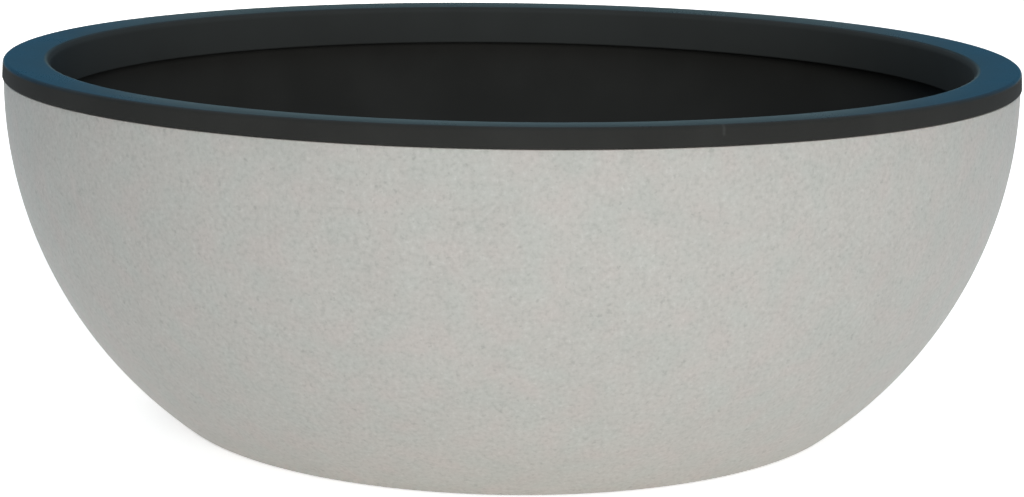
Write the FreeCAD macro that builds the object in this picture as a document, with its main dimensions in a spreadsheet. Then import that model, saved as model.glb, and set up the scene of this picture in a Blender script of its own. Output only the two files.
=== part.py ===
import FreeCAD, Part
import math
import os

import Sketcher

# Wide bowl planter with two skins and a water reserve. A stone-effect outer bowl carries a dark inner bowl by
# its flange, under a rim that clips on. Inside stand a raised floor on posts, wick baskets, an overflow tube
# and a drain plug. Millimetres, +Z up, origin at the middle of the base.

doc = FreeCAD.newDocument("bowl_planter")
sheet = doc.addObject("Spreadsheet::Sheet", "Sizes")


class Size:
    """A length: its number now, and the formula that ties it to the sheet."""

    def __init__(self, number, formula):
        self.number = float(number)
        self.formula = formula

    def __add__(self, other):
        other = as_size(other)
        return Size(self.number + other.number, f"({self.formula} + {other.formula})")

    def __sub__(self, other):
        other = as_size(other)
        return Size(self.number - other.number, f"({self.formula} - {other.formula})")

    def __mul__(self, other):
        other = as_size(other)
        return Size(self.number * other.number, f"({self.formula} * {other.formula})")

    def __truediv__(self, other):
        other = as_size(other)
        return Size(self.number / other.number, f"({self.formula} / {other.formula})")

    def __neg__(self):
        return Size(-self.number, f"(0 - {self.formula})")


def as_size(value):
    """A plain number as a size, or a size as it is."""
    if isinstance(value, Size):
        return value
    return Size(value, f"{float(value):.9g}")


def root(size):
    """The square root of a size."""
    return Size(math.sqrt(size.number), f"sqrt({size.formula})")


# Whole pot
rim_radius = 300.0
pot_height = 213.0
base_radius = 203.5

# Rim cap: outer band, top land that falls a little inwards, inner skirt
land_width = 27.5
land_fall = 1.0
band_height = 10.2
band_step = 0.8
band_draft = 0.5
skirt_depth = 26.3
rim_wall = 3.0
edge_round = 2.5
lip_round = 4.0
skirt_round = 1.2
seam_gap = 0.6
band_clearance = 0.7

# Snap hooks of the rim, and the bead on the inner bowl that they grip
hook_wall = 2.4
hook_span = 3.0
hook_tail = 3.0
bead_height = 1.3
bead_length = 3.2
bead_drop = 7.0
hook_clearance = 0.3

# Outer bowl: straight top, one arc down to the base, foot ring, floor
straight_depth = 17.0
shell_wall = 6.0
shell_floor = 5.0
foot_height = 12.0
foot_width = 8.0
base_round = 2.0
floor_rib_width = 3.0
floor_rib_inset = 16.0
rib_clearance = 0.3

# Inner bowl
skin_gap = 7.0
floor_gap = 3.0
liner_wall = 3.0
flange_wall = 3.0
flange_clearance = 0.8
bore_radius = 15.0
spigot_wall = 3.0
spigot_clearance = 6.0

# Raised floor over the reserve
reserve_depth = 28.0
grid_wall = 3.0
grid_clearance = 1.5
grid_lip = 5.0
drip_radius = 3.0
drip_pitch = 15.0

# Plug-in posts under the raised floor
post_radius = 11.0
post_wall = 2.0
post_inset = 26.0
peg_radius = 6.5
peg_clearance = 0.2

# Wick baskets
basket_pitch = 110.0
basket_radius = 28.0
basket_taper = 5.0
basket_wall = 2.0
basket_flange = 5.0
basket_clearance = 0.6
basket_foot = 2.0
wick_slot_width = 5.0
wick_slot_margin = 5.0

# Overflow tube
tube_radius = 12.0
tube_wall = 2.5
tube_head_radius = 19.0
tube_head_rise = 3.0
tube_seat_radius = 17.5
tube_seat_wall = 3.0
tube_tail = 8.0
head_clearance = 0.8
knob_radius = 7.0
knob_height = 10.0
knob_round = 2.0
window_width = 8.0
window_height = 6.0
window_drop = 6.0

# Drain plug and the ring seals
ground_clearance = 2.0
plug_flange_radius = 17.5
plug_flange_wall = 3.0
plug_length = 8.0
plug_wall = 2.6
grip_width = 4.0
grip_rise = 1.0
grip_height = 5.0
seal_section = 1.4
seal_gap = 0.1
push_clearance = 0.3

# Counts
HOOKS = 12
FLOOR_RIBS = 8
POSTS = 8
BASKETS = 4
INNER_DRIPS = 20
OUTER_DRIPS = 40
SLOT_PAIRS = 5
WINDOW_PAIRS = 2

# Each length above gets a row in the sheet under its own name, and from here on stands for that row
lengths = {name: value for name, value in globals().items() if isinstance(value, float)}
for row, (name, number) in enumerate(lengths.items(), start=1):
    sheet.set(f"A{row}", name)
    sheet.set(f"B{row}", str(number))
    sheet.setAlias(f"B{row}", name)
    globals()[name] = Size(number, f"Sizes.{name}")

# Levels from the ground up
spigot_bottom = ground_clearance + plug_flange_wall
shell_floor_top = foot_height + shell_floor
liner_base = shell_floor_top + floor_gap
liner_floor_top = liner_base + liner_wall
grid_bottom = liner_floor_top + reserve_depth
grid_top = grid_bottom + grid_wall
straight_level = pot_height - straight_depth
band_bottom = pot_height - band_height
skirt_bottom = pot_height - skirt_depth
land_inner_level = pot_height - land_fall
plate_bottom = land_inner_level - rim_wall
shell_top = plate_bottom - flange_wall

# Radii of the skins, all arcs about one centre
shell_radius = rim_radius - band_step
shell_spread = shell_radius - base_radius
arc_radius = (shell_spread * shell_spread + straight_level * straight_level) / (shell_spread * 2)
arc_centre = shell_radius - arc_radius
shell_inner_arc = arc_radius - shell_wall
liner_outer_arc = shell_inner_arc - skin_gap
liner_inner_arc = liner_outer_arc - liner_wall
shell_inner_radius = shell_radius - shell_wall
liner_outer_radius = shell_inner_radius - skin_gap
liner_inner_radius = liner_outer_radius - liner_wall
skirt_radius = rim_radius - land_width
band_inner_radius = rim_radius - band_draft - rim_wall
tongue_radius = band_inner_radius - band_clearance
spigot_radius = bore_radius + spigot_wall


def arc_at(radius, level):
    """How far from the axis a skin of that arc radius is, at a level."""
    drop = straight_level - level
    return arc_centre + root(radius * radius - drop * drop)


liner_floor_radius = arc_at(liner_inner_arc, liner_floor_top)
grid_radius = arc_at(liner_inner_arc, grid_bottom) - grid_clearance
grid_hole = tube_head_radius + head_clearance
post_pitch = liner_floor_radius - post_inset
push_radius = bore_radius - push_clearance
seal_radius = bore_radius - seal_gap - seal_section
groove_radius = seal_radius - seal_section - seal_gap
groove_half = seal_section + seal_gap * 2


class Arc:
    """A round stretch between two corners, about a centre: turn is +1 anticlockwise, -1 clockwise."""

    def __init__(self, across, up, radius, turn):
        self.across = as_size(across)
        self.up = as_size(up)
        self.radius = as_size(radius)
        self.turn = turn

    def angle(self, corner):
        return math.atan2(corner[1].number - self.up.number, corner[0].number - self.across.number)


def vector(across, up):
    return FreeCAD.Vector(across.number, up.number, 0)


def new_circle(across, up, radius):
    return Part.Circle(vector(across, up), FreeCAD.Vector(0, 0, 1), radius.number)


def origin_item(body, role):
    """A plane or an axis of a body's own origin, by its role."""
    return next(item for item in body.Origin.OriginFeatures if item.Role == role)


def new_sketch(body, name, role, level=None):
    """An empty sketch on an origin plane of its body, raised to a level where one is given."""
    sketch = body.newObject("Sketcher::SketchObject", name)
    sketch.AttachmentSupport = (origin_item(body, role), [""])
    sketch.MapMode = "FlatFace"
    if level is not None:
        sketch.AttachmentOffset = FreeCAD.Placement(FreeCAD.Vector(0, 0, level.number), FreeCAD.Rotation())
        sketch.setExpression("AttachmentOffset.Base.z", level.formula)
    return sketch


def bind(sketch, name, size, *constraint):
    """Add a dimension to a sketch and tie it to the sheet."""
    index = sketch.addConstraint(Sketcher.Constraint(*constraint, size.number))
    sketch.renameConstraint(index, name)
    sketch.setExpression(f"Constraints.{name}", size.formula)


def draw_outline(sketch, steps):
    """Draw a closed outline of corners, with an Arc between two corners where the stretch is round.

    A corner between straight stretches is held both ways. An arc is held by its centre and radius, and its
    ends by the one coordinate that changes most along it.
    """
    corners = []
    stretches = []
    for step in steps:
        if isinstance(step, Arc):
            stretches[-1] = step
        else:
            corners.append((as_size(step[0]), as_size(step[1])))
            stretches.append(None)
    count = len(corners)
    for index, stretch in enumerate(stretches):
        start = corners[index]
        end = corners[(index + 1) % count]
        if stretch is None:
            sketch.addGeometry(Part.LineSegment(vector(*start), vector(*end)), False)
        else:
            circle = new_circle(stretch.across, stretch.up, stretch.radius)
            first, last = stretch.angle(start), stretch.angle(end)
            if stretch.turn < 0:
                first, last = last, first
            sketch.addGeometry(Part.ArcOfCircle(circle, first, last), False)

    def start_point(index):
        backwards = stretches[index] is not None and stretches[index].turn < 0
        return 2 if backwards else 1

    def end_point(index):
        return 3 - start_point(index)

    for index in range(count):
        before = (index - 1) % count
        sketch.addConstraint(
            Sketcher.Constraint("Coincident", before, end_point(before), index, start_point(index)))
    for index, stretch in enumerate(stretches):
        if stretch is not None:
            bind(sketch, f"centre{index}_across", stretch.across, "DistanceX", -1, 1, index, 3)
            bind(sketch, f"centre{index}_up", stretch.up, "DistanceY", -1, 1, index, 3)
            bind(sketch, f"arc{index}_radius", stretch.radius, "Radius", index)
    for index, corner in enumerate(corners):
        arcs = [stretch for stretch in (stretches[index - 1], stretches[index]) if stretch is not None]
        if len(arcs) == 2:
            continue
        hold_across = True
        hold_up = True
        if arcs:
            hold_across = abs(math.sin(arcs[0].angle(corner))) > math.sin(math.pi / 4)
            hold_up = not hold_across
        if hold_across:
            bind(sketch, f"corner{index}_across", corner[0], "DistanceX", -1, 1, index, start_point(index))
        if hold_up:
            bind(sketch, f"corner{index}_up", corner[1], "DistanceY", -1, 1, index, start_point(index))


def draw_circles(sketch, circles):
    """Draw circles, each given by its place across, its place up and its radius."""
    for index, (across, up, radius) in enumerate(circles):
        across, up, radius = as_size(across), as_size(up), as_size(radius)
        sketch.addGeometry(new_circle(across, up, radius), False)
        bind(sketch, f"circle{index}_across", across, "DistanceX", -1, 1, index, 3)
        bind(sketch, f"circle{index}_up", up, "DistanceY", -1, 1, index, 3)
        bind(sketch, f"circle{index}_radius", radius, "Radius", index)


def rectangle(left, right, low, high):
    return [(left, low), (right, low), (right, high), (left, high)]


def new_body(label):
    body = doc.addObject("PartDesign::Body", label)
    body.Label = label
    return body


def revolve(body, name, steps, span=None):
    """Turn an outline in the XZ plane about Z, all the way or over a span in degrees about that plane."""
    sketch = new_sketch(body, f"{name}_outline", "XZ_Plane")
    draw_outline(sketch, steps)
    feature = body.newObject("PartDesign::Revolution", name)
    feature.Profile = sketch
    feature.ReferenceAxis = (sketch, ["V_Axis"])
    feature.Angle = 360.0
    if span is not None:
        feature.Midplane = True
        feature.setExpression("Angle", span.formula)
    return feature


def pad(body, name, sketch, length):
    """Add material upwards from a sketch."""
    feature = body.newObject("PartDesign::Pad", name)
    feature.Profile = sketch
    feature.Length = length.number
    feature.setExpression("Length", length.formula)
    return feature


def pierce(body, name, sketch, both_ways=False):
    """Cut right through from a sketch, upwards along Z or both ways from its plane."""
    doc.recompute()
    volume = body.Shape.Volume
    feature = body.newObject("PartDesign::Pocket", name)
    feature.Profile = sketch
    feature.Type = "ThroughAll"
    feature.Midplane = both_ways
    feature.Reversed = not both_ways
    doc.recompute()
    if not feature.Shape.Volume < volume:
        raise RuntimeError(f"{name} cuts nothing")
    return feature


def repeat(body, feature, count, both_sides=False):
    """Repeat a feature evenly about Z, over half a turn where each copy cuts both sides of the body."""
    pattern = body.newObject("PartDesign::PolarPattern", f"{feature.Name}_ring")
    pattern.Originals = [feature]
    pattern.Axis = (origin_item(body, "Z_Axis"), [""])
    pattern.Angle = 180.0 * (count - 1) / count if both_sides else 360.0
    pattern.Occurrences = count
    body.Tip = pattern
    return pattern


def at_turn(pitch, turn):
    """Place across and up of a point at a pitch from the axis, at a turn in degrees."""
    return pitch * math.cos(math.radians(turn)), pitch * math.sin(math.radians(turn))


def place_round(body, pitch, turn):
    """Move a body out from the axis by a pitch, at a turn in degrees."""
    for axis, place in zip("xy", at_turn(pitch, turn)):
        body.setExpression(f"Placement.Base.{axis}", place.formula)


def seal_groove(level):
    """Corners of a ring seal's groove at a level, from below upwards, in a stem of the push radius."""
    return [
        (push_radius, level - groove_half),
        (groove_radius, level - groove_half),
        (groove_radius, level + groove_half),
        (push_radius, level + groove_half),
    ]


def make_outer_bowl():
    """Stone-effect outer skin, with a rebated top edge that the rim band covers and a ribbed floor."""
    body = new_body("outer_bowl")
    shoulder = band_bottom - seam_gap
    drain_hole = spigot_radius + spigot_clearance
    foot_inner = base_radius - foot_width
    skin = revolve(body, "shell_skin", [
        (base_radius, 0),
        Arc(arc_centre, straight_level, arc_radius, 1),
        (shell_radius, straight_level),
        (shell_radius, shoulder),
        (tongue_radius, shoulder),
        (tongue_radius, shell_top),
        (shell_inner_radius, shell_top),
        (shell_inner_radius, straight_level),
        Arc(arc_centre, straight_level, shell_inner_arc, -1),
        (arc_at(shell_inner_arc, shell_floor_top), shell_floor_top),
        (drain_hole, shell_floor_top),
        (drain_hole, foot_height),
        (foot_inner, foot_height),
        (foot_inner, 0),
    ])
    doc.recompute()
    rounding = body.newObject("PartDesign::Fillet", "base_rounding")
    rounding.Base = (skin, [base_edge(skin.Shape)])
    rounding.Radius = base_round.number
    rounding.setExpression("Radius", base_round.formula)
    rib_sketch = new_sketch(body, "floor_rib_outline", "XY_Plane", shell_floor_top)
    draw_outline(rib_sketch, rectangle(
        drain_hole + floor_rib_inset, liner_floor_radius - floor_rib_inset,
        -floor_rib_width / 2, floor_rib_width / 2))
    repeat(body, pad(body, "floor_rib", rib_sketch, floor_gap - rib_clearance), FLOOR_RIBS)
    return body


def base_edge(shape):
    """Name of the round edge where the wall meets the ground."""
    tolerance = 1e-6
    for index, edge in enumerate(shape.Edges, start=1):
        ring = edge.Curve
        if isinstance(ring, Part.Circle) and abs(ring.Center.z) < tolerance:
            if abs(ring.Radius - base_radius.number) < tolerance:
                return f"Edge{index}"
    raise RuntimeError("the base has no outer edge")


def make_inner_bowl():
    """Dark liner that hangs by its flange, with a bead for the rim's hooks and a drain spigot."""
    body = new_body("inner_bowl")
    bead_top = plate_bottom - bead_drop
    revolve(body, "liner_skin", [
        (bore_radius, spigot_bottom),
        (spigot_radius, spigot_bottom),
        (spigot_radius, liner_base),
        (arc_at(liner_outer_arc, liner_base), liner_base),
        Arc(arc_centre, straight_level, liner_outer_arc, 1),
        (liner_outer_radius, straight_level),
        (liner_outer_radius, shell_top),
        (band_inner_radius - flange_clearance, shell_top),
        (band_inner_radius - flange_clearance, plate_bottom),
        (liner_inner_radius, plate_bottom),
        (liner_inner_radius, bead_top),
        (liner_inner_radius - bead_height, bead_top - bead_height),
        (liner_inner_radius - bead_height, bead_top - bead_length),
        (liner_inner_radius, bead_top - bead_length),
        (liner_inner_radius, straight_level),
        Arc(arc_centre, straight_level, liner_inner_arc, -1),
        (liner_floor_radius, liner_floor_top),
        (bore_radius, liner_floor_top),
    ])
    return body


def make_rim_cap():
    """Dark rim in one moulding: band, land and skirt, with snap hooks under the land."""
    body = new_body("rim_cap")
    band_top_radius = rim_radius - band_draft
    revolve(body, "rim_section", [
        (rim_radius, band_bottom),
        (band_top_radius, pot_height - edge_round),
        Arc(band_top_radius - edge_round, pot_height - edge_round, edge_round, 1),
        (band_top_radius - edge_round, pot_height),
        (skirt_radius + lip_round, land_inner_level),
        Arc(skirt_radius + lip_round, land_inner_level - lip_round, lip_round, 1),
        (skirt_radius, land_inner_level - lip_round),
        (skirt_radius, skirt_bottom + skirt_round),
        Arc(skirt_radius + skirt_round, skirt_bottom + skirt_round, skirt_round, 1),
        (skirt_radius + skirt_round, skirt_bottom),
        (skirt_radius + rim_wall, skirt_bottom),
        (skirt_radius + rim_wall, plate_bottom),
        (band_inner_radius, plate_bottom),
        (band_inner_radius, band_bottom),
    ])
    leg_outside = liner_inner_radius - bead_height - hook_clearance
    barb_tip = liner_inner_radius - hook_clearance
    barb_top = plate_bottom - bead_drop - bead_length - hook_clearance
    barb_bottom = barb_top - hook_tail
    hook = revolve(body, "snap_hook", [
        (leg_outside - hook_wall, plate_bottom),
        (leg_outside - hook_wall, barb_bottom),
        (leg_outside, barb_bottom),
        (barb_tip, barb_top - bead_height),
        (barb_tip, barb_top),
        (leg_outside, barb_top),
        (leg_outside, plate_bottom),
    ], hook_span)
    repeat(body, hook, HOOKS)
    return body


def make_reserve_grid():
    """Perforated raised floor with an upturned edge and holes for its posts' pegs and for the baskets."""
    body = new_body("reserve_grid")
    revolve(body, "grid_plate", [
        (grid_hole, grid_bottom),
        (grid_radius, grid_bottom),
        (grid_radius, grid_top + grid_lip),
        (grid_radius - grid_wall, grid_top + grid_lip),
        (grid_radius - grid_wall, grid_top),
        (grid_hole, grid_top),
    ])
    basket_holes = [(*at_turn(basket_pitch, 180.0 / BASKETS), basket_radius + basket_clearance)]
    peg_holes = [(*at_turn(post_pitch, 180.0 / POSTS), peg_radius + peg_clearance)]
    inner_rows = [(grid_hole + drip_pitch * row, 0, drip_radius) for row in (1, 2, 3)]
    spoke_rows = [(basket_pitch + drip_pitch * along, drip_pitch * aside, drip_radius)
                  for along in (-0.5, 0.5, 1.5) for aside in (-1, 0, 1)]
    outer_rows = [(post_pitch - post_radius - drip_pitch / 2, 0, drip_radius)]
    outer_rows += [(grid_radius - drip_pitch * row, 0, drip_radius) for row in (1, 2)]
    for name, circles, count in (("basket_hole", basket_holes, BASKETS), ("peg_hole", peg_holes, POSTS),
                                 ("inner_drip", inner_rows, INNER_DRIPS), ("spoke_drip", spoke_rows, BASKETS),
                                 ("outer_drip", outer_rows, OUTER_DRIPS)):
        sketch = new_sketch(body, f"{name}_outline", "XY_Plane")
        draw_circles(sketch, circles)
        repeat(body, pierce(body, name, sketch), count)
    return body


def make_support_post(number):
    """Hollow post on the liner's floor, with a shoulder under the raised floor and a peg in it."""
    body = new_body(f"support_post_{number}")
    revolve(body, f"post_{number}", [
        (post_radius - post_wall, liner_floor_top),
        (post_radius, liner_floor_top),
        (post_radius, grid_bottom),
        (peg_radius, grid_bottom),
        (peg_radius, grid_top),
        (0, grid_top),
        (0, grid_bottom - post_wall),
        (post_radius - post_wall, grid_bottom - post_wall),
    ])
    place_round(body, post_pitch, (number - 0.5) * 360.0 / POSTS)
    return body


def make_wick_basket(number):
    """Slotted cup that hangs by its flange in the raised floor and dips into the reserve."""
    body = new_body(f"wick_basket_{number}")
    foot = liner_floor_top + basket_foot
    foot_radius = basket_radius - basket_taper
    drain = wick_slot_width / 2
    revolve(body, f"basket_{number}", [
        (drain, foot),
        (foot_radius, foot),
        (basket_radius, grid_bottom),
        (basket_radius, grid_top),
        (basket_radius + basket_flange, grid_top),
        (basket_radius + basket_flange, grid_top + basket_wall),
        (basket_radius - basket_wall, grid_top + basket_wall),
        (basket_radius - basket_wall, grid_bottom),
        (foot_radius - basket_wall, foot + basket_wall),
        (drain, foot + basket_wall),
    ])
    slot_sketch = new_sketch(body, f"wick_slot_{number}_outline", "XZ_Plane")
    draw_outline(slot_sketch, rectangle(
        -wick_slot_width / 2, wick_slot_width / 2, foot + wick_slot_margin, grid_bottom - wick_slot_margin))
    slot = pierce(body, f"wick_slot_{number}", slot_sketch, both_ways=True)
    repeat(body, slot, SLOT_PAIRS, both_sides=True)
    place_round(body, basket_pitch, (number - 0.5) * 360.0 / BASKETS)
    return body


def make_overflow_tube():
    """Standpipe: stem in the spigot, overflow windows, and a head with a knob in the grid's hole."""
    body = new_body("overflow_tube")
    tail = liner_floor_top - tube_tail
    head_top = grid_top + tube_head_rise
    knob_top = head_top + knob_height
    tube_bore = tube_radius - tube_wall
    revolve(body, "tube_section", [
        (tube_bore, tail),
        (push_radius, tail),
        *seal_groove(liner_floor_top - tube_tail / 2),
        (push_radius, liner_floor_top),
        (tube_seat_radius, liner_floor_top),
        (tube_seat_radius, liner_floor_top + tube_seat_wall),
        (tube_radius, liner_floor_top + tube_seat_wall),
        (tube_radius, grid_bottom),
        (tube_head_radius, grid_bottom),
        (tube_head_radius, head_top),
        (knob_radius, head_top),
        (knob_radius, knob_top - knob_round),
        Arc(knob_radius - knob_round, knob_top - knob_round, knob_round, 1),
        (knob_radius - knob_round, knob_top),
        (0, knob_top),
        (0, grid_bottom),
        (tube_bore, grid_bottom),
    ])
    window_top = grid_bottom - window_drop
    window_sketch = new_sketch(body, "window_outline", "XZ_Plane")
    draw_outline(window_sketch, rectangle(
        -window_width / 2, window_width / 2, window_top - window_height, window_top))
    window = pierce(body, "window", window_sketch, both_ways=True)
    repeat(body, window, WINDOW_PAIRS, both_sides=True)
    return body


def make_drain_plug():
    """Push-in plug, hollow from below, with a bar across the hollow to pull it by."""
    body = new_body("drain_plug")
    top = spigot_bottom + plug_length
    hollow = groove_radius - plug_wall
    revolve(body, "plug_section", [
        (hollow, ground_clearance),
        (plug_flange_radius, ground_clearance),
        (plug_flange_radius, spigot_bottom),
        (push_radius, spigot_bottom),
        *seal_groove(spigot_bottom + plug_length / 2),
        (push_radius, top),
        (0, top),
        (0, top - plug_wall),
        (hollow, top - plug_wall),
    ])
    grip_sketch = new_sketch(body, "grip_outline", "XY_Plane", ground_clearance + grip_rise)
    reach = hollow + plug_wall / 2
    draw_outline(grip_sketch, rectangle(-reach, reach, -grip_width / 2, grip_width / 2))
    pad(body, "grip", grip_sketch, grip_height)
    return body


def make_seal(label, level):
    """Rubber ring seal about the axis at a level."""
    ring = doc.addObject("Part::Torus", label)
    ring.Label = label
    ring.setExpression("Radius1", seal_radius.formula)
    ring.setExpression("Radius2", seal_section.formula)
    ring.setExpression("Placement.Base.z", level.formula)
    return ring


pieces = [make_outer_bowl(), make_inner_bowl(), make_rim_cap(), make_reserve_grid()]
pieces += [make_support_post(number) for number in range(1, POSTS + 1)]
pieces += [make_wick_basket(number) for number in range(1, BASKETS + 1)]
pieces += [
    make_overflow_tube(),
    make_seal("tube_seal", liner_floor_top - tube_tail / 2),
    make_drain_plug(),
    make_seal("plug_seal", spigot_bottom + plug_length / 2),
]
doc.recompute()

for item in doc.Objects:
    if "Invalid" in item.State or "Error" in item.State:
        raise RuntimeError(f"{item.Name} failed: {item.State}")
for piece in pieces:
    if piece.Shape.isNull() or not piece.Shape.isValid() or len(piece.Shape.Solids) != 1:
        raise RuntimeError(f"{piece.Label} is not one sound solid")

os.makedirs("parts", exist_ok=True)
for piece in pieces:
    piece.Shape.exportStep(f"parts/{piece.Label}.step")
    box = piece.Shape.BoundBox
    print(f"{piece.Label}: {piece.Shape.Volume / 1000:.1f} cm3, z {box.ZMin:.1f} to {box.ZMax:.1f},"
          f" x {box.XMin:.1f} to {box.XMax:.1f}")
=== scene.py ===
import math

import bmesh
import bpy
import numpy as np
from mathutils import Matrix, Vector
from mathutils.geometry import delaunay_2d_cdt


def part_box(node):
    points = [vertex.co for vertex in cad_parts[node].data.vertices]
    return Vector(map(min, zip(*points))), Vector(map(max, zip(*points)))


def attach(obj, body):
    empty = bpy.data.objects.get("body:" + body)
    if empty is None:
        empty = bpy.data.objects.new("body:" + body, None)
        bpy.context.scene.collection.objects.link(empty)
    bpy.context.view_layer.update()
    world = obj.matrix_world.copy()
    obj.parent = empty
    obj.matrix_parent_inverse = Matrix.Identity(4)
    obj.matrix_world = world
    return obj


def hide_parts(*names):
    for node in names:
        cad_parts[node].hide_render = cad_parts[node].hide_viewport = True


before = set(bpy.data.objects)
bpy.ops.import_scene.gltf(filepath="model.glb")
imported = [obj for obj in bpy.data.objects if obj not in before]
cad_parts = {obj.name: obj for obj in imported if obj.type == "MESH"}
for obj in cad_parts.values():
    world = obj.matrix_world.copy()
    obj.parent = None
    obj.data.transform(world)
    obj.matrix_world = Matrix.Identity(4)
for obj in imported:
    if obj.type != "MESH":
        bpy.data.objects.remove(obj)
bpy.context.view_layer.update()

# Outer bowl: a thick skin, moulded in one piece from a light grey polymer with a granite-like fleck all
# through. It stands on a foot ring, and eight low ribs stiffen its floor. The rebated top edge goes up behind
# the band of the rim, so only the flared wall shows.
mm = 0.001
shell_radius = 299.2 * mm
shell_wall = 6.0 * mm
base_radius = 203.5 * mm
foot_inner_radius = 195.5 * mm
foot_height = 12.0 * mm
foot_edge = 1.6 * mm
foot_inner_edge = 1.0 * mm
foot_corner = 1.5 * mm
shell_floor_top = 17.0 * mm
floor_corner = 4.0 * mm
drain_hole_radius = 24.0 * mm
straight_level = 196.0 * mm
shoulder_level = 202.2 * mm
tongue_radius = 295.8 * mm
shell_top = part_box("outer_bowl")[1].z
arc_radius = 248.563 * mm
arc_centre = shell_radius - arc_radius
crisp_edge = 0.4 * mm
eased_edge = 0.5 * mm
soft_edge = 0.6 * mm
floor_ribs = 8
rib_half_width = 1.5 * mm
rib_draft = 0.3 * mm
rib_height = 2.7 * mm
rib_start = 40.0 * mm
rib_end = 190.0 * mm
stone_mid = (0.497, 0.482, 0.448, 1.0)
stone_warm = (0.512, 0.479, 0.447, 1.0)
stone_cool = (0.486, 0.485, 0.450, 1.0)
fleck_dark = (0.280, 0.275, 0.255, 1.0)
fleck_light = (0.690, 0.690, 0.660, 1.0)
# Features or cells to the metre, and how far each kind of fleck takes the colour to its own.
cloud_scale, cloud_depth = 38.0, 0.06
grain_scale, grain_dark, grain_light = 420.0, 0.28, 0.24
speck_cells, speck_depth = 230.0, 0.31
dust_cells, dust_depth = 620.0, 0.20
glint_cells, glint_depth = 300.0, 0.21
tint_scale = 55.0
pit_scale = 1500.0


def arc(across, up, radius, first, last, count):
    """Points of a circle about (across, up): the centre plus radius times cosine and sine of even angles."""
    angle = np.radians(np.linspace(first, last, count))
    return np.column_stack([across + radius * np.cos(angle), up + radius * np.sin(angle)])


def section(*steps):
    """An outline in (radius, height), which runs anticlockwise where it is closed.

    A step is a run of points, or one corner with its rounding as a third number. There the outline leaves
    the corner's two sides at that distance and joins them by a quadratic curve:
    (1-t)^2 start + 2t(1-t) corner + t^2 end.
    """
    runs = [np.atleast_2d(step)[:, :2] for step in steps]
    along = np.linspace(0.0, 1.0, 6)[:, None]
    shaped = []
    for index, step in enumerate(steps):
        run = runs[index]
        if isinstance(step, tuple) and len(step) == 3:
            before = runs[index - 1][-1] - run
            after = runs[(index + 1) % len(runs)][0] - run
            start = run + before * min(0.45, step[2] / np.linalg.norm(before))
            end = run + after * min(0.45, step[2] / np.linalg.norm(after))
            run = (1 - along) ** 2 * start + 2 * along * (1 - along) * run + along ** 2 * end
        shaped.append(run)
    return np.vstack(shaped)


def turned(profile, angle):
    """A profile of (radius, height) carried round the axis: radius cos a, radius sin a, height."""
    radius, height = profile[:, 0], profile[:, 1]
    angle = np.broadcast_to(angle, (len(angle), len(profile)))
    height = np.broadcast_to(height, angle.shape)
    return np.stack([radius * np.cos(angle), radius * np.sin(angle), height], axis=-1)


def even_turn(count):
    """Angles of a full turn in even steps, as a column."""
    return np.linspace(0.0, 2 * np.pi, count, endpoint=False)[:, None]


def skin(grid, closed_along=True):
    """Points and faces of a grid that goes all the way round: each face joins a point to the next one round,
    the next one along the profile, and back."""
    rows, columns = grid.shape[:2]
    here = np.arange(rows * columns).reshape(rows, columns)
    faces = np.stack(
        [here, np.roll(here, -1, 0), np.roll(here, (-1, -1), (0, 1)), np.roll(here, -1, 1)], axis=-1)
    if not closed_along:
        faces = faces[:, :-1]
    return grid.reshape(-1, 3), faces.reshape(-1, 4)


def new_piece(name, shells, material):
    """One object from its shells of points and faces, doubles merged at the poles, smooth but for edges
    that turn by more than 40 degrees."""
    starts = np.cumsum([0] + [len(points) for points, faces in shells])
    mesh = bpy.data.meshes.new(name)
    mesh.from_pydata(
        np.vstack([points for points, faces in shells]).tolist(), [],
        [face for start, (points, faces) in zip(starts, shells) for face in (faces + start).tolist()])
    shape = bmesh.new()
    shape.from_mesh(mesh)
    bmesh.ops.remove_doubles(shape, verts=shape.verts, dist=1e-7)
    shape.to_mesh(mesh)
    shape.free()
    mesh.polygons.foreach_set("use_smooth", np.ones(len(mesh.polygons), dtype=bool))
    mesh.set_sharp_from_angle(angle=math.radians(40.0))
    mesh.materials.append(material)
    piece = bpy.data.objects.new(name, mesh)
    bpy.context.scene.collection.objects.link(piece)
    return piece


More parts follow.
